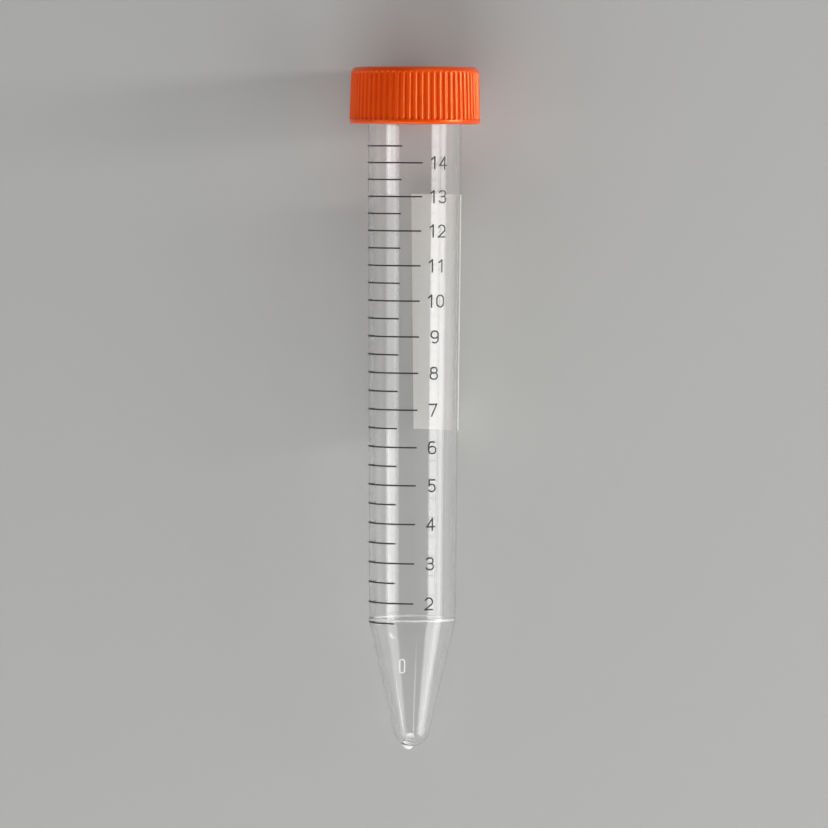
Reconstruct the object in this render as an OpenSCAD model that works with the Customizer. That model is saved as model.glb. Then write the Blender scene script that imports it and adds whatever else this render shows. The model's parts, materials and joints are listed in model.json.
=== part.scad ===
// 15 ml conical tube with a ribbed screw cap and a printed scale.
// Each piece is drawn upright on the tube's axis, tip at z = 0 and cap on top, with the
// scale facing -Y. lay_down() then sets it at rest on the cap's rim and the shoulder,
// scale upwards, cap towards +Y, centred over the origin with the bench at z = 0.

/* [Tube] */
// Length over everything, from the tip to the top of the cap
total_len = 120; // [112:0.5:128]
// Height of the shoulder, where the cone meets the straight body
shoulder_z = 22.6; // [20:0.1:26]
// Outside diameter at the shoulder
shoulder_od = 15.2; // [14.8:0.05:15.8]
// Outside diameter at the rim
rim_od = 16.55; // [16.2:0.05:17]
// Bore diameter at the shoulder
shoulder_bore = 13.35; // [12.8:0.05:13.6]
// Bore diameter at the rim
rim_bore = 15; // [14.6:0.05:15.2]
// Outside radius of the rounded bottom
bottom_r = 3.2; // [2.6:0.1:3.6]
// Wall thickness at the rounded bottom
bottom_wall = 1; // [0.8:0.05:1.3]
// Height of the stub left by the moulding gate
gate_h = 0.55; // [0.3:0.05:0.8]
// How far the gate's stub stands off the axis
gate_off = 0.8; // [0:0.1:1]

/* [Cap] */
// Height of the cap
cap_h = 10; // [9.6:0.1:12]
// Diameter over the plain band round the open end
band_od = 22.96; // [22.6:0.02:23.6]
// Height of the plain band
band_h = 0.75; // [0.7:0.05:1.4]
// Rounding of the band's lower edge
band_edge_r = 0.45; // [0.3:0.05:0.6]
// Diameter over the ribs at the closed end
crown_od = 22.4; // [22:0.05:22.6]
// Rounding of the closed end's edge
crown_edge_r = 0.8; // [0.5:0.05:0.8]
// Height at which the ribs stop, below the closed end's top
rib_stop = 0.85; // [0.85:0.05:1.2]
// Number of grip ribs
rib_count = 64; // [48:1:72]
// Depth of the grooves between the ribs
rib_depth = 0.36; // [0.2:0.02:0.38]
// Radius of a rib's round back
rib_r = 0.42; // [0.4:0.01:0.5]
// Bore of the skirt, over the thread's crests
skirt_bore = 19; // [18.6:0.1:19.4]
// Thickness of the closed end
plate_t = 1.4; // [1.1:0.05:1.6]
// Length of the plug that seals the bore
plug_len = 2.6; // [2:0.1:3]
// Wall of the plug
plug_wall = 0.9; // [0.7:0.05:1.2]
// Radial gap between the plug and the bore, and end gap over the rim
seal_gap = 0.1; // [0.05:0.05:0.2]

/* [Scale] */
// Lowest mark, at the shoulder, in ml
first_ml = 1.5; // [1.5:0.5:2]
// Highest mark, in ml
last_ml = 14.5; // [10:0.5:14.5]
// Step between marks, in ml
step_ml = 0.5; // [0.5:0.5:1]
// Thickness of a mark
mark_t = 0.26; // [0.2:0.02:0.4]
// Angle from the front at which every mark starts, on the left
mark_start = -96; // [-110:1:-80]
// Angle at which a whole-ml mark ends, at the top of the scale
long_end = 9.9; // [4:0.1:14]
// Angle at which a half-ml mark ends, at the top of the scale
short_end = -15.8; // [-24:0.1:-10]
// Angle of the numerals' centre, at the top of the scale
numeral_at = 30.6; // [26:0.1:36]
// How far the print turns to the left for each mm down the tube, in degrees
print_skew = 0.11; // [0:0.01:0.2]
// Height of a numeral
numeral_h = 2.32; // [1.8:0.02:2.6]
// Width of a numeral
numeral_w = 1.64; // [1.3:0.02:1.7]
// Distance between the two digits of a numeral
numeral_step = 1.92; // [1.8:0.02:2.1]
// Stroke of the numerals
stroke = 0.26; // [0.2:0.02:0.32]

/* [Writing patch] */
// Lower edge of the writing patch, on the back of the tube
patch_z = 56.2; // [45:0.1:60]
// Height of the writing patch
patch_h = 41.5; // [30:0.5:45]
// Angle at which the patch starts, on the right, half way up
patch_start = 82; // [60:1:100]
// Angle at which the patch ends, just past the back, half way up
patch_end = 182; // [170:1:200]

/* [Hidden] */
$fn = 96;

ink_t = 0.05;           // thickness of the printed ink
ink_gap = 0.03;         // the ink's stand-off from the wall
eps = 0.01;

cap_z = total_len - cap_h;                      // the skirt's open end
rim_z = total_len - plate_t - seal_gap;         // the tube's rim
crown_z = total_len - rib_stop;                 // where the ribs stop
band_r = band_od / 2;
crown_r = crown_od / 2;
rib_z = cap_z + band_h;
rib_draft = atan2(band_r - crown_r, crown_z - rib_z);
rib_inset = 0.03;       // how far the ribs' backs stay under the band and the crown

body_len = rim_z - shoulder_z;
od_slope = (rim_od - shoulder_od) / body_len;
bore_slope = (rim_bore - shoulder_bore) / body_len;
function wall_r(z) = (shoulder_od + od_slope * (z - shoulder_z)) / 2;
function bore_r(z) = (shoulder_bore + bore_slope * (z - shoulder_z)) / 2;

bottom_z = gate_h + bottom_r;                   // centre of the rounded bottom
gate_r = 0.8;                                   // radius of the gate's domed stub
seam_turn = -3.2;                               // keeps the wall's seam off the line of rest

// Half angle of a cone that starts at radius r on the shoulder and is tangent to a
// ball of radius ball_r on the axis at bottom_z
function cone_angle(r, ball_r) =
    atan2(r, shoulder_z - bottom_z) - asin(ball_r / norm([shoulder_z - bottom_z, r]));

// Height of a scale mark: the bore above the shoulder is a frustum, so the volume
// up to a height grows with the cube of the diameter there
function mark_z(ml) =
    shoulder_z + (pow(pow(shoulder_bore, 3) + 12 * bore_slope * 1000 * (ml - first_ml) / PI,
                      1 / 3) - shoulder_bore) / bore_slope;
function skew(z) = print_skew * (mark_z(14) - z);

// Rest: the line that touches the shoulder's corner and the round of the band's edge
rest_dz = cap_z + band_edge_r - shoulder_z;
rest_dr = band_r - band_edge_r - shoulder_od / 2;
tilt = atan2(rest_dr, rest_dz) + asin(band_edge_r / norm([rest_dr, rest_dz]));
axis_h = shoulder_od / 2 * cos(tilt) - shoulder_z * sin(tilt);
y_low = gate_r * (cos(tilt) - 1);
y_high = (total_len - crown_edge_r) * cos(tilt) + (crown_r - crown_edge_r) * sin(tilt)
    + crown_edge_r;

module lay_down() {
    translate([0, -(y_low + y_high) / 2, axis_h])
        rotate([tilt - 90, 0, 0])
            children();
}

// A solid of revolution made of a round bottom, a tangent cone and a tapered body
module bullet(ball_r, shoulder_r, top_r, top_z) {
    angle = cone_angle(shoulder_r, ball_r);
    tangent_z = bottom_z - ball_r * sin(angle);
    tangent_r = ball_r * cos(angle);
    translate([0, 0, bottom_z])
        sphere(r = ball_r);
    translate([0, 0, tangent_z])
        cylinder(r1 = tangent_r, r2 = shoulder_r, h = shoulder_z - tangent_z);
    translate([0, 0, shoulder_z])
        cylinder(r1 = shoulder_r, r2 = top_r, h = top_z - shoulder_z);
}

module tube_upright() {
    over = 1;                                   // the cutter runs on past the rim
    difference() {
        union() {
            rotate([0, 0, seam_turn])
                bullet(bottom_r, shoulder_od / 2, rim_od / 2, rim_z);
            intersection() {
                translate([-gate_off, 0, gate_r])
                    sphere(r = gate_r);
                cylinder(r = bottom_r, h = bottom_z);
            }
        }
        rotate([0, 0, seam_turn])
            bullet(bottom_r - bottom_wall, shoulder_bore / 2, bore_r(rim_z + over),
                   rim_z + over);
    }
}

// Half section of a disc with one rounded outer edge, at its foot
module edged_disc(r, h, edge_r) {
    translate([0, edge_r])
        square([r, h - edge_r]);
    square([r - edge_r, h]);
    translate([r - edge_r, edge_r])
        circle(r = edge_r);
}

// Half section of the cap's outside: band, groove bottoms and crown
module cap_section() {
    translate([0, cap_z])
        edged_disc(band_r, band_h, band_edge_r);
    polygon([[0, rib_z - eps], [band_r - rib_depth, rib_z - eps],
             [crown_r - rib_depth, crown_z + eps], [0, crown_z + eps]]);
    translate([0, total_len])
        mirror([0, 1])
            edged_disc(crown_r, rib_stop, crown_edge_r);
}

// A rib leans with the draft; its ends are sunk in the band and in the crown
module rib() {
    sunk = band_h / 8;
    translate([band_r - rib_inset - rib_r, 0, rib_z - sunk])
        rotate([0, -rib_draft, 0])
            cylinder(r = rib_r, h = (crown_z - rib_z) / cos(rib_draft) + 2 * sunk, $fn = 24);
}

module cap_upright() {
    plug_z = total_len - plate_t - plug_len;
    plug_r = bore_r(plug_z) - seal_gap;
    skirt_len = cap_h - plate_t;
    difference() {
        union() {
            rotate_extrude()
                cap_section();
            for (i = [0 : rib_count - 1])
                rotate([0, 0, i * 360 / rib_count])
                    rib();
        }
        translate([0, 0, cap_z - 1])
            cylinder(r = skirt_bore / 2, h = skirt_len + 1);
    }
    difference() {
        translate([0, 0, plug_z])
            cylinder(r = plug_r, h = plug_len + eps);
        translate([0, 0, plug_z - 1])
            cylinder(r = plug_r - plug_wall, h = plug_len + 1);
    }
}

// A film of ink on the wall between two heights and two angles from the front
module film(z1, z2, a1, a2) {
    in1 = wall_r(z1) + ink_gap;
    in2 = wall_r(z2) + ink_gap;
    rotate([0, 0, a1 - 90])
        rotate_extrude(angle = a2 - a1)
            polygon([[in1, z1], [in1 + ink_t, z1], [in2 + ink_t, z2], [in2, z2]]);
}

// A block that stands past an angle a at height z, on its greater side, and leans with
// the print: it trims the patch to its slanted edges
module beyond(a, z) {
    lean = atan(print_skew * PI / 180 * wall_r(z));
    reach = 2 * patch_h;
    rotate([0, 0, a])
        translate([0, -wall_r(z), z])
            rotate([0, lean, 0])
                translate([0, -reach / 2, -reach / 2])
                    cube([reach, reach / 2 + wall_r(z) / 2, reach]);
}

module patch_upright() {
    spare = print_skew * patch_h;               // degrees that the trim may need
    mid = patch_z + patch_h / 2;
    difference() {
        film(patch_z, patch_z + patch_h, patch_start, patch_end + spare);
        beyond(patch_end, mid);
    }
}

module lines_upright() {
    for (ml = [first_ml : step_ml : last_ml]) {
        z = mark_z(ml);
        end = ml == floor(ml) ? long_end : short_end;
        film(z - mark_t / 2, z + mark_t / 2, mark_start - skew(z), end - skew(z));
    }
}

// Strokes of a digit, on its flat face. A bar runs between two points; an arc runs round
// a centre between two angles. Both are blocks that stand across the wall.
stroke_deep = 1.6;
module bar(p, q) {
    d = q - p;
    translate([p[0], p[1], -stroke_deep / 2])
        rotate([0, 0, atan2(d[1], d[0])])
            translate([-stroke / 2, -stroke / 2, 0])
                cube([norm(d) + stroke, stroke, stroke_deep]);
}

module arc(c, r, a1, a2) {
    translate([c[0], c[1], -stroke_deep / 2])
        rotate([0, 0, a1])
            rotate_extrude(angle = a2 - a1)
                translate([r - stroke / 2, 0])
                    square([stroke, stroke_deep]);
}

// A ring that is wider than high: centre height y, half height r, half width side
module bowl(y, r, side) {
    arc([side - r, y], r, -90, 90);
    arc([r - side, y], r, 90, 270);
    bar([r - side, y + r], [side - r, y + r]);
    bar([r - side, y - r], [side - r, y - r]);
}

// The ten plain digits, drawn on the centre line of the stroke in a box w wide and h high
// about the origin
w = (numeral_w - stroke) / 2;
h = (numeral_h - stroke) / 2;
upper_r = h * 0.48;                             // half height of an upper bowl
lower_r = h * 0.54;                             // half height of a lower bowl

module digit(n) {
    if (n == 0) {
        arc([0, h - w], w, 0, 180);
        arc([0, w - h], w, 180, 360);
        bar([w, h - w], [w, w - h]);
        bar([-w, h - w], [-w, w - h]);
    }
    if (n == 1) {
        bar([w * 0.3, h], [w * 0.3, -h]);
        bar([w * 0.3, h], [-w * 0.5, h * 0.6]);
    }
    if (n == 2) {
        arc([0, h - w], w, -30, 165);
        bar([w * cos(30), h - w - w * sin(30)], [-w, -h]);
        bar([-w, -h], [w, -h]);
    }
    if (n == 3) {
        side = w * 0.92;
        arc([side - upper_r, h - upper_r], upper_r, -90, 90);
        arc([upper_r - side, h - upper_r], upper_r, 90, 165);
        bar([upper_r - side, h], [side - upper_r, h]);
        bar([-w * 0.2, h - 2 * upper_r], [side - upper_r, h - 2 * upper_r]);
        arc([w - lower_r, lower_r - h], lower_r, -90, 90);
        arc([lower_r - w, lower_r - h], lower_r, 195, 270);
        bar([lower_r - w, -h], [w - lower_r, -h]);
    }
    if (n == 4) {
        low = -h * 0.4;
        bar([w * 0.5, h], [w * 0.5, -h]);
        bar([w * 0.5, h], [-w, low]);
        bar([-w, low], [w * 1.05, low]);
    }
    if (n == 5) {
        r = h * 0.62;
        mid = [w - r, r - h];                    // centre of the bowl
        arc(mid, r, -150, 140);
        bar(mid + r * [cos(140), sin(140)], [-w * 0.62, h]);
        bar([-w * 0.62, h], [w * 0.85, h]);
    }
    if (n == 6) {
        r = h * 0.6;
        bowl(r - h, r, w);
        bar([-w, r - h], [-w, h - w]);
        arc([0, h - w], w, 48, 180);
    }
    if (n == 7) {
        bar([-w, h], [w, h]);
        bar([w, h], [-w * 0.4, -h]);
    }
    if (n == 8) {
        bowl(h - upper_r, upper_r, w * 0.88);
        bowl(lower_r - h, lower_r, w);
    }
    if (n == 9)
        rotate([0, 0, 180])
            digit(6);
}

module numeral(ml) {
    z = mark_z(ml);
    tens = floor(ml / 10);
    rotate([0, 0, numeral_at - skew(z)])
        translate([0, -wall_r(z), z])
            rotate([90, 0, 0]) {
                if (tens > 0)
                    translate([-numeral_step / 2, 0, 0])
                        digit(tens);
                translate([tens > 0 ? numeral_step / 2 : 0, 0, 0])
                    digit(ml % 10);
            }
}

module numerals_upright() {
    for (ml = [ceil(first_ml) : floor(last_ml)]) {
        z = mark_z(ml);
        half = numeral_h;                        // half of a window with room to spare
        a = numeral_at - skew(z);
        intersection() {
            film(z - half, z + half, a - 20, a + 20);
            numeral(ml);
        }
    }
}

module tube() {
    color([0.8, 0.84, 0.86, 0.45])
        lay_down()
            tube_upright();
}

module cap() {
    color([0.91, 0.3, 0.05])
        lay_down()
            cap_upright();
}

module writing_patch() {
    color([0.95, 0.94, 0.91])
        lay_down()
            patch_upright();
}

module scale_lines() {
    color([0.1, 0.1, 0.1])
        lay_down()
            lines_upright();
}

module scale_numerals() {
    color([0.1, 0.1, 0.1])
        lay_down()
            numerals_upright();
}

tube();
cap();
writing_patch();
scale_lines();
scale_numerals();
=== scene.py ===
import json
import math

import bmesh
import bpy
import numpy as np
from mathutils import Matrix, Vector


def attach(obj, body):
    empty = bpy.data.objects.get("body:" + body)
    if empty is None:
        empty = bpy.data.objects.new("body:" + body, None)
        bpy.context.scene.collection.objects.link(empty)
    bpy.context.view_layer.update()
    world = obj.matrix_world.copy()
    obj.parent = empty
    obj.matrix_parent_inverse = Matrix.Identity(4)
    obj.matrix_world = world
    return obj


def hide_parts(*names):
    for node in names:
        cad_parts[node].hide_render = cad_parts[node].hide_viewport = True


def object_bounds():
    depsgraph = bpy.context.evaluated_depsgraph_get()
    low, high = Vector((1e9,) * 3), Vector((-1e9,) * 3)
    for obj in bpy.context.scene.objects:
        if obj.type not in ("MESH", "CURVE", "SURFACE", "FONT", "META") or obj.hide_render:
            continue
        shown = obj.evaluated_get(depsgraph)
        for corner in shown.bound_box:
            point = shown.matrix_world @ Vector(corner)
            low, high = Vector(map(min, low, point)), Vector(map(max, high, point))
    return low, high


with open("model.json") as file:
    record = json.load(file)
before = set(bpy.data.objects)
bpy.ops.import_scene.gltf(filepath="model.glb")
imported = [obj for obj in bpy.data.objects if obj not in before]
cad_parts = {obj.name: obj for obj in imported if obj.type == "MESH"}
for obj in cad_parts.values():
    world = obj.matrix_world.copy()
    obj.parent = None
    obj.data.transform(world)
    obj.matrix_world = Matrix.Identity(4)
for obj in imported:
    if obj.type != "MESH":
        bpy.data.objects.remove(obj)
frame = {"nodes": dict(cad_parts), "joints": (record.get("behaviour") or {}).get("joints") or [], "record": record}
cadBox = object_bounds()
print("frame loaded")

# Pieces are drawn upright in millimetres, z up from the tip and the scale towards -y, and
# then laid down where the tube lies by this matrix.
mm = 0.001
overallLength = 120.0
capTop = next(m for m in frame["record"]["mounts"] if m["name"] == "cap_top")
axis = Vector(frame["joints"][0]["axis"]).normalized()
sideways = Vector((1, 0, 0))
faceOut = sideways.cross(axis)  # out of the printed side
tip = Vector(capTop["pos_m"]) - axis * overallLength * mm
toWorld = Matrix(
    [[sideways[i] * mm, -faceOut[i] * mm, axis[i] * mm, tip[i]] for i in range(3)]
    + [[0, 0, 0, 1]]
)
lean = math.asin(axis.z)


def placed(across, out, along):
    return toWorld @ Vector((across, -out, along))


def linear(hexColour):
    parts = [int(hexColour[i : i + 2], 16) / 255 for i in (1, 3, 5)]
    return [c / 12.92 if c <= 0.04045 else ((c + 0.055) / 1.055) ** 2.4 for c in parts] + [1]


def addNode(tree, kind, inputs=None, **settings):
    # an input is a plain value or another node's output; gives back the new node's outputs
    node = tree.nodes.new(kind)
    for name, value in settings.items():
        setattr(node, name, value)
    for name, value in (inputs or {}).items():
        if isinstance(value, bpy.types.NodeSocket):
            tree.links.new(value, node.inputs[name])
        else:
            node.inputs[name].default_value = value
    return node.outputs


def newMaterial(name):
    material = bpy.data.materials.new(name)
    material.use_nodes = True
    material.node_tree.nodes.clear()
    return material, material.node_tree


def uprightPlace(tree):
    # a point's place in upright millimetres, so that patterns run along and round the tube
    return addNode(
        tree,
        "ShaderNodeMapping",
        {
            "Vector": addNode(tree, "ShaderNodeTexCoord")["Object"],
            "Location": toWorld.inverted().translation,
            "Rotation": (math.pi / 2 - lean, 0, 0),
            "Scale": (1 / mm, 1 / mm, 1 / mm),
        },
    )["Vector"]


def uneven(tree, place, size, low=0.0, high=1.0, stretch=1.0, detail=2.0):
    # wanders between low and high, in patches about size mm wide and stretch times as long;
    # the noise itself keeps to about 0.3 to 0.7
    squeezed = addNode(
        tree,
        "ShaderNodeVectorMath",
        {0: place, 1: (1 / size, 1 / size, 1 / size / stretch)},
        operation="MULTIPLY",
    )[0]
    noise = addNode(
        tree, "ShaderNodeTexNoise", {"Vector": squeezed, "Scale": 1.0, "Detail": detail}
    )["Fac"]
    return addNode(
        tree,
        "ShaderNodeMapRange",
        {"Value": noise, "From Min": 0.3, "From Max": 0.7, "To Min": low, "To Max": high},
    )["Result"]


turning = {
    "smallBend": 7.5,  # degrees between the rings of a fillet
    "largeBend": 4.0,  # and of one that is wider than largeFrom
    "largeFrom": 2.0,
    "fewest": 4,  # steps round any fillet
    "guard": 0.15,  # a short step beside each fillet keeps straight walls straight
    "guardFrom": 1.0,  # on stretches longer than this, in mm
    "tiny": 1e-6,
}


def roundedCorner(before, corner, after, radius):
    a, b, c = np.array(before), np.array(corner), np.array(after)
    toA, toC = (a - b) / np.linalg.norm(a - b), (c - b) / np.linalg.norm(c - b)
    half = math.acos(np.clip(toA @ toC, -1, 1)) / 2
    reach = radius / math.tan(half)
    middle = b + (toA + toC) / np.linalg.norm(toA + toC) * radius / math.sin(half)
    start, end = b + toA * reach - middle, b + toC * reach - middle
    turn = math.atan2(start[0] * end[1] - start[1] * end[0], start @ end)
    bend = turning["largeBend" if radius > turning["largeFrom"] else "smallBend"]
    steps = max(turning["fewest"], math.ceil(abs(math.degrees(turn)) / bend))
    angles = math.atan2(start[1], start[0]) + turn * np.arange(steps + 1) / steps
    return middle + radius * np.column_stack([np.cos(angles), np.sin(angles)])


def softOutline(corners):
    # corners are (radius, height, fillet, longest step on the way here)
    rows, last, tiny = [], len(corners) - 1, turning["tiny"]
    for i, (r, z, fillet, stride) in enumerate(corners):
        if 0 < i < last and fillet:
            bend = roundedCorner(corners[i - 1][:2], (r, z), corners[i + 1][:2], fillet)
        else:
            bend = np.array([[r, z]], float)
        if rows:
            start, gap = rows[-1], bend[0] - rows[-1]
            length = np.linalg.norm(gap)
            guard = turning["guard"] if length > turning["guardFrom"] else 0
            inner = max(1, math.ceil((length - 2 * guard) / stride))
            at = [guard + (length - 2 * guard) * k / inner for k in range(inner + 1)]
            rows += [start + gap * x / length for x in at if tiny < x < length - tiny]
            if length < tiny:
                bend = bend[1:]
        rows += list(bend)
    return np.array(rows)


def turned(name, outline, countAt, shape):
    # a solid of revolution from an outline that begins and ends on the axis; countAt gives
    # each ring's number of points and shape moves them
    mesh = bmesh.new()
    rings = []
    for r, z in outline:
        count = 1 if r < turning["tiny"] else countAt(r)
        angle = np.arange(count) * 2 * math.pi / count
        radius, height = shape(np.full(count, r), np.full(count, z), angle)
        points = np.column_stack([radius * np.sin(angle), -radius * np.cos(angle), height])
        rings.append([mesh.verts.new(point) for point in points])
    for lower, upper in zip(rings, rings[1:]):
        fine, coarse = (lower, upper) if len(lower) >= len(upper) else (upper, lower)
        ratio = len(fine) // len(coarse)
        for i, here in enumerate(coarse):
            step = [fine[(ratio * i + j) % len(fine)] for j in range(ratio + 1)]
            if len(coarse) == 1:
                for near, far in zip(step, step[1:]):
                    mesh.faces.new((here, near, far))
                continue
            after = coarse[(i + 1) % len(coarse)]
            if ratio == 1:
                mesh.faces.new((here, step[0], step[1], after))
                continue
            turnover = ratio // 2
            for j in range(ratio):
                mesh.faces.new((here if j < turnover else after, step[j], step[j + 1]))
            mesh.faces.new((here, step[turnover], after))
    bmesh.ops.recalc_face_normals(mesh, faces=mesh.faces)
    data = bpy.data.meshes.new(name)
    mesh.to_mesh(data)
    mesh.free()
    data.shade_smooth()
    made = bpy.data.objects.new(name, data)
    bpy.context.scene.collection.objects.link(made)
    return made


def ease(low, high, value):
    t = np.clip((value - low) / (high - low), 0, 1)
    return t * t * (3 - 2 * t)


def threadRidge(thread, angle, height):
    # how far a right-hand screw ridge stands out at these places, from 0 to 1
    out = np.zeros_like(height)
    wholeRun = thread["turns"] * 2 * math.pi
    for turn in range(math.ceil(thread["turns"]) + 1):
        run = angle + 2 * math.pi * turn
        ends = ease(0, thread["runOut"], run) * ease(0, thread["runOut"], wholeRun - run)
        middle = thread["start"] + thread["pitch"] * run / (2 * math.pi)
        ridge = ease(thread["foot"], thread["crest"], np.abs(height - middle))
        out = np.maximum(out, ridge * ends)
    return out


def layDown(piece, body, node):
    piece.data.transform(toWorld)
    piece.data.update()
    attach(piece, body)
    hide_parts(node)


tubeValues = {  # in mm
    "tipHeight": 0.55,  # underside of the round bottom, over the gate's stub
    "tipRadius": 3.2,
    "tipWall": 1.0,
    "shoulderHeight": 22.6,
    "shoulderRadius": 7.6,
    "shoulderFillet": 1.0,
    "shoulderBore": 6.675,
    "boreFillet": 3.0,
    "neckFoot": 110.0,
    "neckHead": 117.2,
    "rimHeight": 118.5,
    "rimRadius": 8.275,
    "rimBore": 7.5,
    "rimFillet": 0.3,
    "gateAcross": -0.75,  # the stub that the gate leaves under the bottom
    "gateReach": 1.2,
    "gateFlat": 0.3,
    "gateDrop": 0.55,
    "gateBelow": 1.3,  # only the outside is pulled down
    "beadHeight": 23.1,  # the low ring where the mould parts, over the shoulder
    "beadHalf": 0.3,
    "beadRise": 0.06,
    "beadOutside": 7.2,
    "neckOutside": 8.0,
    "around": 256,
    "steps": {  # the longest from ring to ring
        "bottom": 1.0,
        "cone": 2.0,
        "shoulder": 0.1,
        "bead": 0.07,
        "body": 3.0,
        "thread": 0.1,
        "rim": 0.4,
        "bore": 4.0,
    },
    "thread": {
        "pitch": 3.2,
        "start": 110.9,
        "turns": 1.65,
        "foot": 0.6,  # half the ridge's width at its foot
        "crest": 0.24,  # and at its crest
        "rise": 0.74,
        "runOut": 0.5,  # radians over which each end fades
    },
    "look": {
        "clear": "#FFFFFF",
        "ior": 1.575,
        "smooth": 0.012,
        "hazy": 0.035,
        "hazeSize": 3.0,
        "hazeStretch": 4.0,
        "flowSize": 2.2,
        "flowStretch": 14.0,
        "flowDepth": 0.001,
        "frostRough": 0.5,
        "frostClear": 0.2,
        "stubMatt": 1.2,  # matt as far as this from the gate, and clear from stubClear on
        "stubClear": 1.5,
        "partingHalf": 0.07,  # half the width of the line where the mould parts
        "partingMatt": 0.4,
        "markAcross": -1.68,  # the mould's cavity number, a plain 0
        "markAlong": 15.1,
        "markHalf": 0.78,
        "markRadius": 0.42,
        "markLine": 0.13,
        "headOn": 0.05,  # share of the light that the wall turns back
        "grazing": 5.0,
    },
}


def cavityMark(tree, place):
    # 1 on the line of the engraved 0, on the front of the cone, and 0 elsewhere
    look = tubeValues["look"]
    spot = place
    for operation, amount in (
        ("SUBTRACT", (look["markAcross"], 0, look["markAlong"])),
        ("MULTIPLY", (1, 0, 1)),
        ("ABSOLUTE", (0, 0, 0)),
        ("SUBTRACT", (0, 0, look["markHalf"])),
        ("MAXIMUM", (0, 0, 0)),
    ):
        inputs = {0: spot, 1: amount}
        spot = addNode(tree, "ShaderNodeVectorMath", inputs, operation=operation)[0]
    reach = addNode(tree, "ShaderNodeVectorMath", {0: spot}, operation="LENGTH")["Value"]
    back = addNode(tree, "ShaderNodeSeparateXYZ", {0: place})["Y"]
    known = {"reach": reach, "back": back}
    for name, operation, *terms in (
        ("line", "COMPARE", "reach", look["markRadius"], look["markLine"] / 2),
        ("front", "LESS_THAN", "back", 0.0),
        ("mark", "MULTIPLY", "line", "front"),
    ):
        inputs = {i: known.get(term, term) for i, term in enumerate(terms)}
        known[name] = addNode(tree, "ShaderNodeMath", inputs, operation=operation)[0]
    return known["mark"]


def clearPolyester():
    # Injection-moulded clear polyester: glassy with bright edges, and flow lines up the
    # wall that make what is seen through it waver a little. The gate's stub, the mould's
    # parting line and its cavity number are frosted.
    look, sizes = tubeValues["look"], tubeValues
    material, tree = newMaterial("injectionMouldedClearPolyester")
    place = uprightPlace(tree)
    flow = uneven(tree, place, look["flowSize"], stretch=look["flowStretch"], detail=1.0)
    haze = uneven(
        tree, place, look["hazeSize"], look["smooth"], look["hazy"], stretch=look["hazeStretch"]
    )
    fromGate = addNode(
        tree,
        "ShaderNodeVectorMath",
        {0: place, 1: (sizes["gateAcross"], 0, 0)},
        operation="DISTANCE",
    )["Value"]
    stub = addNode(
        tree,
        "ShaderNodeMapRange",
        {
            "Value": fromGate,
            "From Min": look["stubMatt"],
            "From Max": look["stubClear"],
            "To Min": 1.0,
            "To Max": 0.0,
        },
    )["Result"]
    # light on its way to the print or the bench loses only what the wall turns back, and
    # that grows towards grazing
    rays = addNode(tree, "ShaderNodeLightPath")
    known = {
        "height": addNode(tree, "ShaderNodeSeparateXYZ", {0: place})["Z"],
        "mark": cavityMark(tree, place),
        "stub": stub,
        "haze": haze,
        "slant": addNode(tree, "ShaderNodeLayerWeight")["Facing"],
        "shadowRay": rays["Is Shadow Ray"],
        "diffuseRay": rays["Is Diffuse Ray"],
    }
    for name, operation, *terms in (
        ("parting", "COMPARE", "height", sizes["beadHeight"], look["partingHalf"]),
        ("partingFrost", "MULTIPLY", "parting", look["partingMatt"]),
        ("engraved", "MAXIMUM", "partingFrost", "mark"),
        ("frost", "MAXIMUM", "stub", "engraved"),
        ("clear", "MULTIPLY_ADD", "frost", look["frostClear"] - 1, 1.0),
        ("frostRough", "MULTIPLY", "frost", look["frostRough"]),
        ("rough", "MAXIMUM", "haze", "frostRough"),
        ("steep", "POWER", "slant", look["grazing"]),
        ("turnedBack", "MULTIPLY_ADD", "steep", 1 - look["headOn"], look["headOn"]),
        ("lighting", "MAXIMUM", "shadowRay", "diffuseRay"),
    ):
        inputs = {i: known.get(term, term) for i, term in enumerate(terms)}
        known[name] = addNode(tree, "ShaderNodeMath", inputs, operation=operation)[0]
    solid = addNode(
        tree, "ShaderNodeMix", {"Factor": known["lighting"], "A": 1.0, "B": known["turnedBack"]}
    )["Result"]
    ripple = addNode(
        tree,
        "ShaderNodeBump",
        {"Height": flow, "Strength": 1.0, "Distance": look["flowDepth"] * mm},
    )["Normal"]
    plastic = addNode(
        tree,
        "ShaderNodeBsdfPrincipled",
        {
            "Base Color": linear(look["clear"]),
            "IOR": look["ior"],
            "Roughness": known["rough"],
            "Transmission Weight": known["clear"],
            "Alpha": solid,
            "Normal": ripple,
        },
    )["BSDF"]
    addNode(tree, "ShaderNodeOutputMaterial", {"Surface": plastic})
    return material


def wallRadius(height, low, high):
    s = tubeValues
    share = (height - s["shoulderHeight"]) / (s["rimHeight"] - s["shoulderHeight"])
    return low + (high - low) * share


def coneFoot(radius, ball):
    # where the cone, carried on past the round bottom, would meet the bottom's level
    s = tubeValues
    rise = s["shoulderHeight"] - s["tipHeight"] - s["tipRadius"]
    angle = math.atan2(radius, rise) - math.asin(ball / math.hypot(rise, radius))
    return ball * math.tan(math.pi / 4 - angle / 2)


def tubeShape(radius, height, angle):
    s, thread = tubeValues, tubeValues["thread"]
    across, back = radius * np.sin(angle), -radius * np.cos(angle)
    reach = np.hypot(across - s["gateAcross"], back)
    stub = s["gateDrop"] * ease(s["gateReach"], s["gateFlat"], reach)
    height = np.where(height < s["gateBelow"], height - stub, height)
    ridge = thread["rise"] * threadRidge(thread, angle, height)
    bead = s["beadRise"] * ease(s["beadHalf"], 0, np.abs(height - s["beadHeight"]))
    proud = np.where(radius > s["beadOutside"], bead, 0)
    return radius + proud + np.where(radius > s["neckOutside"], ridge, 0), height


def tubeCount(radius):
    return tubeValues["around"]


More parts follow.
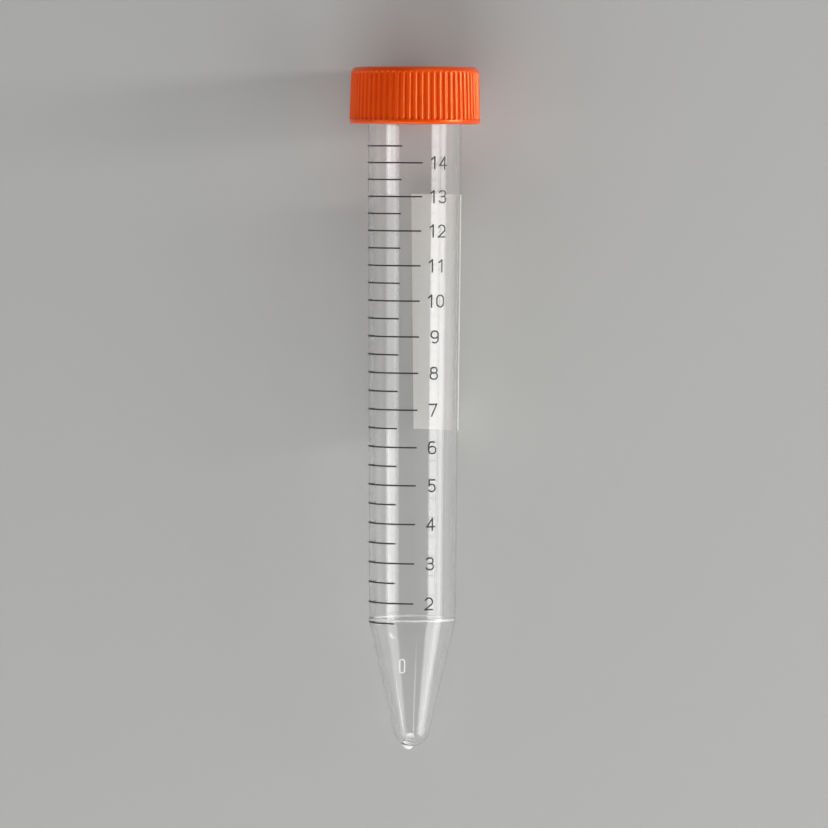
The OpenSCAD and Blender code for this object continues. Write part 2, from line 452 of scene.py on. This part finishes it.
def buildTube():
    s, step = tubeValues, tubeValues["steps"]
    outer, outerRim = s["shoulderRadius"], s["rimRadius"]
    innerBall = s["tipRadius"] - s["tipWall"]
    innerTip = s["tipHeight"] + s["tipWall"]
    beadFoot, beadHead = s["beadHeight"] - s["beadHalf"], s["beadHeight"] + s["beadHalf"]
    corners = [
        (0, s["tipHeight"], 0, step["bottom"]),
        (coneFoot(outer, s["tipRadius"]), s["tipHeight"], s["tipRadius"], step["bottom"]),
        (outer, s["shoulderHeight"], s["shoulderFillet"], step["cone"]),
        (wallRadius(beadFoot, outer, outerRim), beadFoot, 0, step["shoulder"]),
        (wallRadius(beadHead, outer, outerRim), beadHead, 0, step["bead"]),
        (wallRadius(s["neckFoot"], outer, outerRim), s["neckFoot"], 0, step["body"]),
        (wallRadius(s["neckHead"], outer, outerRim), s["neckHead"], 0, step["thread"]),
        (outerRim, s["rimHeight"], s["rimFillet"], step["rim"]),
        (s["rimBore"], s["rimHeight"], s["rimFillet"], step["rim"]),
        (s["shoulderBore"], s["shoulderHeight"], s["boreFillet"], step["bore"]),
        (coneFoot(s["shoulderBore"], innerBall), innerTip, innerBall, step["cone"]),
        (0, innerTip, 0, step["bottom"]),
    ]
    return turned("clearTube", softOutline(corners), tubeCount, tubeShape)


tube = buildTube()
tube.data.materials.append(clearPolyester())
layDown(tube, "tube", "tube")
print("tube turned:", len(tube.data.polygons), "faces")

capValues = {  # in mm
    "top": 120.0,
    "foot": 110.0,
    "crownRadius": 11.2,
    "crownFillet": 1.1,
    "gateRadius": 1.5,  # shallow round recess in the closed end, where the cap was fed
    "gateSlope": 0.2,
    "gateDepth": 0.16,
    "gateFillet": 0.1,
    "skirtRadius": 11.466,  # where the ribbed skirt comes out of the band
    "skirtFoot": 111.1,
    "bandRadius": 11.48,
    "bandTop": 110.6,
    "bandFillet": 0.45,
    "mouthFillet": 0.3,
    "skirtBore": 9.5,
    "threadFoot": 110.5,
    "threadHead": 117.6,
    "threadFades": 111.2,  # no ridge stands below bandTop, and the whole one from here
    "boreReach": 0.02,  # the ridge stands on what is this near the bore
    "plateUnderside": 118.6,
    "plateFillet": 0.3,
    "plugFoot": 116.0,
    "plugRadius": 7.378,
    "plugBore": 6.478,
    "plugFillet": 0.25,
    "plugRoot": 0.2,
    "outsideFrom": 9.95,
    "aroundOutside": 768,  # twelve points to a rib, and a whole multiple of aroundInside
    "aroundInside": 256,
    "steps": {  # the longest from ring to ring
        "recess": 0.5,
        "crown": 1.4,
        "skirt": 2.0,
        "ribFoot": 0.06,
        "band": 0.3,
        "mouth": 0.5,
        "belowThread": 0.2,
        "thread": 0.1,
        "aboveThread": 0.4,
        "plug": 1.0,
        "underside": 2.0,
    },
    "thread": {
        "pitch": 3.2,
        "start": 109.3,
        "turns": 2.45,
        "foot": 0.6,
        "crest": 0.24,
        "rise": 0.7,
        "runOut": 0.5,
    },
    "ribs": {
        "Rib Count": 64,
        "Rib Radius": 0.42,
        "Groove Depth": 0.34,
        "Valley Blend": 0.08,
        "Foot Start": 110.72,
        "Foot End": 110.92,
        "Head Start": 118.95,
        "Head End": 119.15,
        "Skirt Radius": 10.3,
    },
    "look": {
        "body": "#E24302",
        "pale": "#E84904",
        "shine": "#FFE086",
        "shineLevel": 0.6,
        "ior": 1.5,
        "rough": 0.2,
        "matt": 0.27,
        "cloudSize": 6.0,
        "grainSize": 0.22,
        "grainDepth": 0.005,
        "glowShare": 0.15,
        "glowSpread": (1.0, 0.35, 0.1),  # how far red, green and blue light wanders inside
        "glowDepth": 1.2,
    },
}


def mouldedPolyethylene():
    # Injection-moulded high-density polyethylene, coloured through: soft waxy sheen over a
    # fine spark-eroded grain, with slight clouds of pigment and a little light inside.
    look = capValues["look"]
    material, tree = newMaterial("injectionMouldedPolyethylene")
    place = uprightPlace(tree)
    clouds = uneven(tree, place, look["cloudSize"])
    # the real grain is 0.05 mm, and it is drawn coarser so that it shows
    grain = uneven(tree, place, look["grainSize"], detail=3.0)
    colour = addNode(
        tree,
        "ShaderNodeMix",
        {"Factor": clouds, 6: linear(look["body"]), 7: linear(look["pale"])},
        data_type="RGBA",
    )[2]
    eroded = addNode(
        tree,
        "ShaderNodeBump",
        {"Height": grain, "Strength": 1.0, "Distance": look["grainDepth"] * mm},
    )["Normal"]
    plastic = addNode(
        tree,
        "ShaderNodeBsdfPrincipled",
        {
            "Base Color": colour,
            "Roughness": uneven(tree, place, look["cloudSize"], look["rough"], look["matt"]),
            "Normal": eroded,
            "IOR": look["ior"],
            "Specular IOR Level": look["shineLevel"],
            "Specular Tint": linear(look["shine"]),
            "Subsurface Weight": look["glowShare"],
            "Subsurface Radius": look["glowSpread"],
            "Subsurface Scale": look["glowDepth"] * mm,
        },
    )["BSDF"]
    addNode(tree, "ShaderNodeOutputMaterial", {"Surface": plastic})
    return material


def capShape(radius, height, angle):
    s, thread = capValues, capValues["thread"]
    ridge = thread["rise"] * threadRidge(thread, angle, height)
    ridge = ridge * ease(s["bandTop"], s["threadFades"], height)
    onBore = np.isclose(radius, s["skirtBore"], atol=s["boreReach"])
    return radius - np.where(onBore, ridge, 0), height


def capCount(radius):
    s = capValues
    return s["aroundOutside"] if radius > s["outsideFrom"] else s["aroundInside"]


def buildCap():
    s, step = capValues, capValues["steps"]
    gateFloor, gateEdge = s["top"] - s["gateDepth"], s["gateRadius"] + s["gateSlope"]
    corners = [
        (0, gateFloor, 0, step["recess"]),
        (s["gateRadius"], gateFloor, s["gateFillet"], step["recess"]),
        (gateEdge, s["top"], s["gateFillet"], step["recess"]),
        (s["crownRadius"], s["top"], s["crownFillet"], step["crown"]),
        (s["skirtRadius"], s["skirtFoot"], 0, step["skirt"]),
        (s["bandRadius"], s["bandTop"], 0, step["ribFoot"]),
        (s["bandRadius"], s["foot"], s["bandFillet"], step["band"]),
        (s["skirtBore"], s["foot"], s["mouthFillet"], step["mouth"]),
        (s["skirtBore"], s["threadFoot"], 0, step["belowThread"]),
        (s["skirtBore"], s["threadHead"], 0, step["thread"]),
        (s["skirtBore"], s["plateUnderside"], s["plateFillet"], step["aboveThread"]),
        (s["plugRadius"], s["plateUnderside"], s["plugRoot"], step["plug"]),
        (s["plugRadius"], s["plugFoot"], s["plugFillet"], step["plug"]),
        (s["plugBore"], s["plugFoot"], s["plugFillet"], step["plug"]),
        (s["plugBore"], s["plateUnderside"], s["plugRoot"], step["plug"]),
        (0, s["plateUnderside"], 0, step["underside"]),
    ]
    return turned("ribbedCap", softOutline(corners), capCount, capShape)


def ribTree():
    # sinks the grooves between the cap's finger ribs into its smooth skirt
    ribs = capValues["ribs"]
    tree = bpy.data.node_groups.new("capFingerRibs", "GeometryNodeTree")
    tree.is_modifier = True
    face = tree.interface
    face.new_socket("Geometry", in_out="INPUT", socket_type="NodeSocketGeometry")
    for name in ribs:
        face.new_socket(name, in_out="INPUT", socket_type="NodeSocketFloat")
    face.new_socket("Material", in_out="INPUT", socket_type="NodeSocketMaterial")
    face.new_socket("Geometry", in_out="OUTPUT", socket_type="NodeSocketGeometry")
    given = addNode(tree, "NodeGroupInput")
    place = addNode(tree, "GeometryNodeInputPosition")[0]
    x, y, z = addNode(tree, "ShaderNodeSeparateXYZ", {0: place})
    flat = addNode(tree, "ShaderNodeVectorMath", {0: place, 1: (1, 1, 0)}, operation="MULTIPLY")[0]
    outward = addNode(tree, "ShaderNodeVectorMath", {0: flat}, operation="NORMALIZE")[0]
    radius = addNode(tree, "ShaderNodeVectorMath", {0: flat}, operation="LENGTH")["Value"]
    footFade = {0: z, 1: given["Foot Start"], 2: given["Foot End"]}
    headFade = {0: z, 1: given["Head End"], 2: given["Head Start"]}
    soft = "SMOOTHSTEP"
    known = {name: given[name] for name in ribs}
    known |= {
        "x": x,
        "y": y,
        "radius": radius,
        "foot": addNode(tree, "ShaderNodeMapRange", footFade, interpolation_type=soft)[0],
        "head": addNode(tree, "ShaderNodeMapRange", headFade, interpolation_type=soft)[0],
    }
    for name, operation, *terms in (
        ("forward", "MULTIPLY", "y", -1.0),
        ("angle", "ARCTAN2", "x", "forward"),
        ("ribsPerRadian", "DIVIDE", "Rib Count", 2 * math.pi),
        ("phase", "MULTIPLY", "angle", "ribsPerRadian"),
        ("nearestRib", "ROUND", "phase"),
        ("offCentre", "SUBTRACT", "phase", "nearestRib"),
        ("pitch", "DIVIDE", "radius", "ribsPerRadian"),
        ("away", "MULTIPLY", "offCentre", "pitch"),
        ("awaySquare", "POWER", "away", 2.0),
        ("ribSquare", "POWER", "Rib Radius", 2.0),
        ("leftOver", "SUBTRACT", "ribSquare", "awaySquare"),
        ("overRib", "MAXIMUM", "leftOver", 0.0),
        ("dome", "SQRT", "overRib"),
        ("drop", "SUBTRACT", "Rib Radius", "dome"),
        ("sunk", "SMOOTH_MIN", "drop", "Groove Depth", "Valley Blend"),
        ("ends", "MULTIPLY", "foot", "head"),
        ("outside", "GREATER_THAN", "radius", "Skirt Radius"),
        ("where", "MULTIPLY", "ends", "outside"),
        ("depth", "MULTIPLY", "sunk", "where"),
        ("inward", "MULTIPLY", "depth", -1.0),
    ):
        inputs = {i: known.get(term, term) for i, term in enumerate(terms)}
        known[name] = addNode(tree, "ShaderNodeMath", inputs, operation=operation)[0]
    offset = addNode(
        tree, "ShaderNodeVectorMath", {0: outward, "Scale": known["inward"]}, operation="SCALE"
    )[0]
    moved = {"Geometry": given["Geometry"], "Offset": offset}
    ribbed = addNode(tree, "GeometryNodeSetPosition", moved)[0]
    real = addNode(tree, "GeometryNodeRealizeInstances", {0: ribbed})[0]
    finish = {"Geometry": real, "Material": given["Material"]}
    painted = addNode(tree, "GeometryNodeSetMaterial", finish)[0]
    addNode(tree, "NodeGroupOutput", {"Geometry": painted})
    return tree


def cutRibs(piece, material):
    ribs = capValues["ribs"]
    modifier = piece.modifiers.new("fingerRibs", "NODES")
    modifier.node_group = ribTree()
    for item in modifier.node_group.interface.items_tree:
        if item.in_out == "INPUT" and item.name in ribs:
            modifier[item.identifier] = float(ribs[item.name])
        if item.in_out == "INPUT" and item.name == "Material":
            modifier[item.identifier] = material
    bpy.context.view_layer.update()
    ribbed = piece.evaluated_get(bpy.context.evaluated_depsgraph_get())
    data = bpy.data.meshes.new_from_object(ribbed)
    piece.modifiers.clear()
    piece.data = data
    piece.data.shade_smooth()


cap = buildCap()
cutRibs(cap, mouldedPolyethylene())
layDown(cap, "cap", "cap")
print("cap turned and ribbed:", len(cap.data.polygons), "faces")

inkValues = {
    "white": {"dense": "#F4F3EF", "thin": "#EEECE6", "rough": 0.5, "blot": 0.5},
    "black": {"dense": "#1E1E20", "thin": "#343436", "rough": 0.42, "blot": 0.3},
    "ior": 1.5,
    "dulled": 0.1,  # how much rougher it is where it is thin
    "depth": 0.0016,  # mm
}


def screenInk(name, look):
    # Screen-printed ink cured on the wall: nearly matt, and a little uneven where the mesh
    # left it thinner.
    material, tree = newMaterial(name)
    place = uprightPlace(tree)
    blots = uneven(tree, place, look["blot"], detail=3.0)
    colour = addNode(
        tree,
        "ShaderNodeMix",
        {"Factor": blots, 6: linear(look["dense"]), 7: linear(look["thin"])},
        data_type="RGBA",
    )[2]
    rough = addNode(
        tree,
        "ShaderNodeMath",
        {0: blots, 1: inkValues["dulled"], 2: look["rough"]},
        operation="MULTIPLY_ADD",
    )[0]
    film = addNode(
        tree,
        "ShaderNodeBump",
        {"Height": blots, "Strength": 1.0, "Distance": inkValues["depth"] * mm},
    )["Normal"]
    ink = addNode(
        tree,
        "ShaderNodeBsdfPrincipled",
        {"Base Color": colour, "Roughness": rough, "Normal": film, "IOR": inkValues["ior"]},
    )["BSDF"]
    addNode(tree, "ShaderNodeOutputMaterial", {"Surface": ink})
    return material


whiteInk = screenInk("screenPrintedWhiteInk", inkValues["white"])
blackInk = screenInk("screenPrintedBlackInk", inkValues["black"])
printing = {"writing_patch": whiteInk, "scale_lines": blackInk, "scale_numerals": blackInk}
for name, ink in printing.items():
    for holder in frame["nodes"][name].material_slots:
        holder.material = ink
print("ink on:", ", ".join(printing))

stageValues = {
    "floor": "#B2B2B0",
    "floorHalf": 2.5,  # m
    "floorBelow": 0.00005,
    "floorSmooth": 0.62,
    "floorMatt": 0.7,
    "mottle": 170,  # mm
    "roomLow": 0.36,  # brightness of the room where lowFrom is the sine of its height
    "lowFrom": 0.1,
    "roomHigh": 0.15,
    "highFrom": 0.75,
}


def mattBoard():
    # Matt painted board, pale and even, so that only the tube's own shadow shows on it.
    look = stageValues
    material, tree = newMaterial("mattPaintedBoard")
    place = uprightPlace(tree)
    rough = uneven(tree, place, look["mottle"], look["floorSmooth"], look["floorMatt"])
    paint = addNode(
        tree,
        "ShaderNodeBsdfPrincipled",
        {"Base Color": linear(look["floor"]), "Roughness": rough},
    )["BSDF"]
    addNode(tree, "ShaderNodeOutputMaterial", {"Surface": paint})
    return material


def layFloor():
    half = stageValues["floorHalf"]
    level = cadBox[0].z - stageValues["floorBelow"]
    corners = [(x * half, y * half, level) for x, y in ((-1, -1), (1, -1), (1, 1), (-1, 1))]
    data = bpy.data.meshes.new("studioFloor")
    data.from_pydata(corners, [], [(0, 1, 2, 3)])
    data.materials.append(mattBoard())
    floor = bpy.data.objects.new("studioFloor", data)
    bpy.context.scene.collection.objects.link(floor)


def lightRoom():
    look = stageValues
    world = bpy.data.worlds.new("paleStudio")
    world.use_nodes = True
    bpy.context.scene.world = world
    tree = world.node_tree
    tree.nodes.clear()
    towards = addNode(tree, "ShaderNodeTexCoord")["Generated"]
    shade = addNode(
        tree,
        "ShaderNodeMapRange",
        {
            "Value": addNode(tree, "ShaderNodeSeparateXYZ", {0: towards})["Z"],
            "From Min": look["lowFrom"],
            "From Max": look["highFrom"],
            "To Min": look["roomLow"],
            "To Max": look["roomHigh"],
        },
    )["Result"]
    white = linear("#FFFFFF")
    room = addNode(tree, "ShaderNodeBackground", {"Color": white, "Strength": shade})[0]
    addNode(tree, "ShaderNodeOutputWorld", {"Surface": room})


# each softbox: angle from straight over the print towards the right, distance from the
# tube's axis, place along it, length, width (all mm), and how bright its face is (1 is white)
softboxes = {
    "capKeyRight": (74, 900, 188, 96, 400, 28.0),
    "lowRight": (77, 900, -246, 796, 320, 3.1),
    "wideRight": (55, 880, -220, 840, 374, 2.3),
    "wideLeft": (-62, 850, -280, 960, 460, 1.7),
    "pastTip": (-12, 800, -860, 600, 1100, 3.8),
    "pastCap": (34, 640, 900, 520, 800, 1.3),
}


def hangSoftboxes():
    middle = placed(0, 0, overallLength / 2)
    for name, (angle, distance, along, length, width, bright) in softboxes.items():
        lamp = bpy.data.lights.new(name, "AREA")
        lamp.shape = "RECTANGLE"
        lamp.size, lamp.size_y = width * mm, length * mm
        lamp.energy = bright * math.pi * lamp.size * lamp.size_y
        box = bpy.data.objects.new(name, lamp)
        side = math.radians(angle)
        box.location = placed(distance * math.sin(side), distance * math.cos(side), along)
        away = (box.location - middle).normalized()
        across = axis.cross(away).normalized()
        box.rotation_euler = Matrix([across, away.cross(across), away]).transposed().to_euler()
        box.visible_camera = False
        bpy.context.scene.collection.objects.link(box)


cameraPlace = {
    "away": 1200.0,  # mm from the tube's axis
    "height": 105.0,  # along the tube, from its tip
    "aim": 59.1,  # the place along the tube that it looks at
    "across": 0.12,
    "roll": 0.3,  # degrees
    "lens": 297.1,
}


def setCamera():
    c = cameraPlace
    eye, aim = placed(c["across"], c["away"], c["height"]), placed(c["across"], 0, c["aim"])
    forward = (aim - eye).normalized()
    level = forward.cross(axis).normalized()
    upright = level.cross(forward)
    roll = math.radians(c["roll"])
    right = level * math.cos(roll) + upright * math.sin(roll)
    up = right.cross(forward)
    camera = bpy.data.objects.new("camera", bpy.data.cameras.new("camera"))
    camera.data.lens = c["lens"]
    turn = Matrix([right, up, -forward]).transposed().to_4x4()
    camera.matrix_world = Matrix.Translation(eye) @ turn
    bpy.context.scene.collection.objects.link(camera)
    bpy.context.scene.camera = camera


layFloor()
lightRoom()
hangSoftboxes()
setCamera()
bpy.context.scene.view_settings.view_transform = "Standard"
print("stage set")
